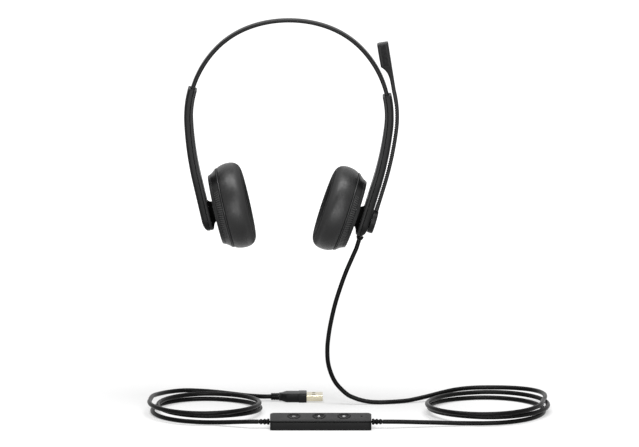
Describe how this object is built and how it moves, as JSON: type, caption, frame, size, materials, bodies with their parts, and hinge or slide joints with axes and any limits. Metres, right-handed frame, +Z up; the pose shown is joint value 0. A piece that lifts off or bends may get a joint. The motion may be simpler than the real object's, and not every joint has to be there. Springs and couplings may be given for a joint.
{
  "type": "office headset",
  "caption": "Wired office headset: slim band with sliding arms, two padded ear cups on ball pivots, a folding boom microphone, and a cord with an inline controller and a USB plug.",
  "frame": {"origin": "middle of the band's underside at the crown, where the headset rests on a head", "axes": "+Z up, +X towards the side that carries the boom, -Y towards the front of the wearer and the viewer"},
  "size_m": [0.298, 0.1211, 0.2917],
  "materials": {
    "sleeve": "soft matte",
    "arm": "satin",
    "cover": "satin",
    "neck": "matte",
    "housing": "fine ribbed",
    "rim": "satin",
    "cushion": "soft leatherette over foam",
    "cloth": "woven",
    "boom": "satin",
    "cord": "satin",
    "case": "satin",
    "button": "satin",
    "lens": "gloss",
    "board": "lacquered",
    "switch": "moulded",
    "driver": "moulded",
    "film": "clear film",
    "steel": "bright",
    "plate": "nickel plate",
    "gold": "gold plate",
    "tongue": "moulded"
  },
  "bodies": {
    "headband": {"headband_sleeve": "sleeve", "headband_spring": "steel", "controller_base": "case", "controller_lid": "case", "controller_board": "board", "minus_switch": "switch", "mute_switch": "switch", "plus_switch": "switch", "indicator_lens": "lens", "left_controller_relief": "cord", "right_controller_relief": "cord", "plug_overmould": "case", "plug_relief": "cord", "plug_shell": "plate", "plug_tongue": "tongue", "plug_contacts": "gold", "cord_drop": "cord", "cord_coil_right": "cord", "cord_lead_right": "cord", "cord_lead_left": "cord", "cord_coil_left": "cord", "cord_lead_plug": "cord"},
    "left_arm": {"left_arm_shell": "arm", "left_arm_cover": "cover", "left_arm_screw": "steel", "left_cup_neck": "neck"},
    "left_gimbal": {"left_pivot_ball": "steel"},
    "left_cup": {"left_back_cover": "housing", "left_vent_ring": "housing", "left_baffle": "rim", "left_driver_frame": "driver", "left_driver_magnet": "steel", "left_diaphragm": "film", "left_scrim": "cloth", "left_cushion": "cushion"},
    "right_arm": {"right_arm_shell": "arm", "right_arm_cover": "cover", "right_arm_screw": "steel", "right_cup_neck": "neck", "boom_pin": "steel", "arm_cord_relief": "cord"},
    "right_gimbal": {"right_pivot_ball": "steel"},
    "right_cup": {"right_back_cover": "housing", "right_vent_ring": "housing", "right_baffle": "rim", "right_driver_frame": "driver", "right_driver_magnet": "steel", "right_diaphragm": "film", "right_scrim": "cloth", "right_cushion": "cushion"},
    "boom": {"boom_hub": "arm", "boom_stem": "boom", "mic_capsule": "boom", "mic_grille": "cloth", "mic_element": "steel"},
    "minus_key": {"minus_button": "button"},
    "mute_key": {"mute_button": "button"},
    "plus_key": {"plus_button": "button"}
  },
  "joints": [
    {"name": "left_slider", "type": "hinge", "parent": "headband", "child": "left_arm", "pos_m": [0, 0, -0.0714], "axis": [0, -1, 0], "range_deg": [0, 9]},
    {"name": "right_slider", "type": "hinge", "parent": "headband", "child": "right_arm", "pos_m": [0, 0, -0.0714], "axis": [0, 1, 0], "range_deg": [-4, 5], "deforming": ["cord_drop"]},
    {"name": "left_cup_swivel", "type": "hinge", "parent": "left_arm", "child": "left_gimbal", "pos_m": [-0.05558, 0, -0.14214], "axis": [-0.225, 0, 0.9744], "range_deg": [-6.5, 6.5]},
    {"name": "left_cup_tilt", "type": "hinge", "parent": "left_gimbal", "child": "left_cup", "pos_m": [-0.05558, 0, -0.14214], "axis": [0, 1, 0], "range_deg": [-6.5, 6.5]},
    {"name": "right_cup_swivel", "type": "hinge", "parent": "right_arm", "child": "right_gimbal", "pos_m": [0.05051, 0, -0.14585], "axis": [0.2924, 0, 0.9563], "range_deg": [-6.5, 6.5]},
    {"name": "right_cup_tilt", "type": "hinge", "parent": "right_gimbal", "child": "right_cup", "pos_m": [0.05051, 0, -0.14585], "axis": [0, 1, 0], "range_deg": [-8.3, 4.7]},
    {"name": "boom_rotate", "type": "hinge", "parent": "right_arm", "child": "boom", "pos_m": [0.06397, 0, -0.15143], "axis": [-0.9563, 0, 0.2924], "range_deg": [-140, 140]},
    {"name": "minus_press", "type": "slide", "parent": "headband", "child": "minus_key", "axis": [0, 0.233, -0.9725], "range_m": [0, 0.0004], "stiffness_N_per_m": 1500, "springref_m": -0.0003},
    {"name": "mute_press", "type": "slide", "parent": "headband", "child": "mute_key", "axis": [0, 0.233, -0.9725], "range_m": [0, 0.0004], "stiffness_N_per_m": 1500, "springref_m": -0.0003},
    {"name": "plus_press", "type": "slide", "parent": "headband", "child": "plus_key", "axis": [0, 0.233, -0.9725], "range_m": [0, 0.0004], "stiffness_N_per_m": 1500, "springref_m": -0.0003}
  ]
}
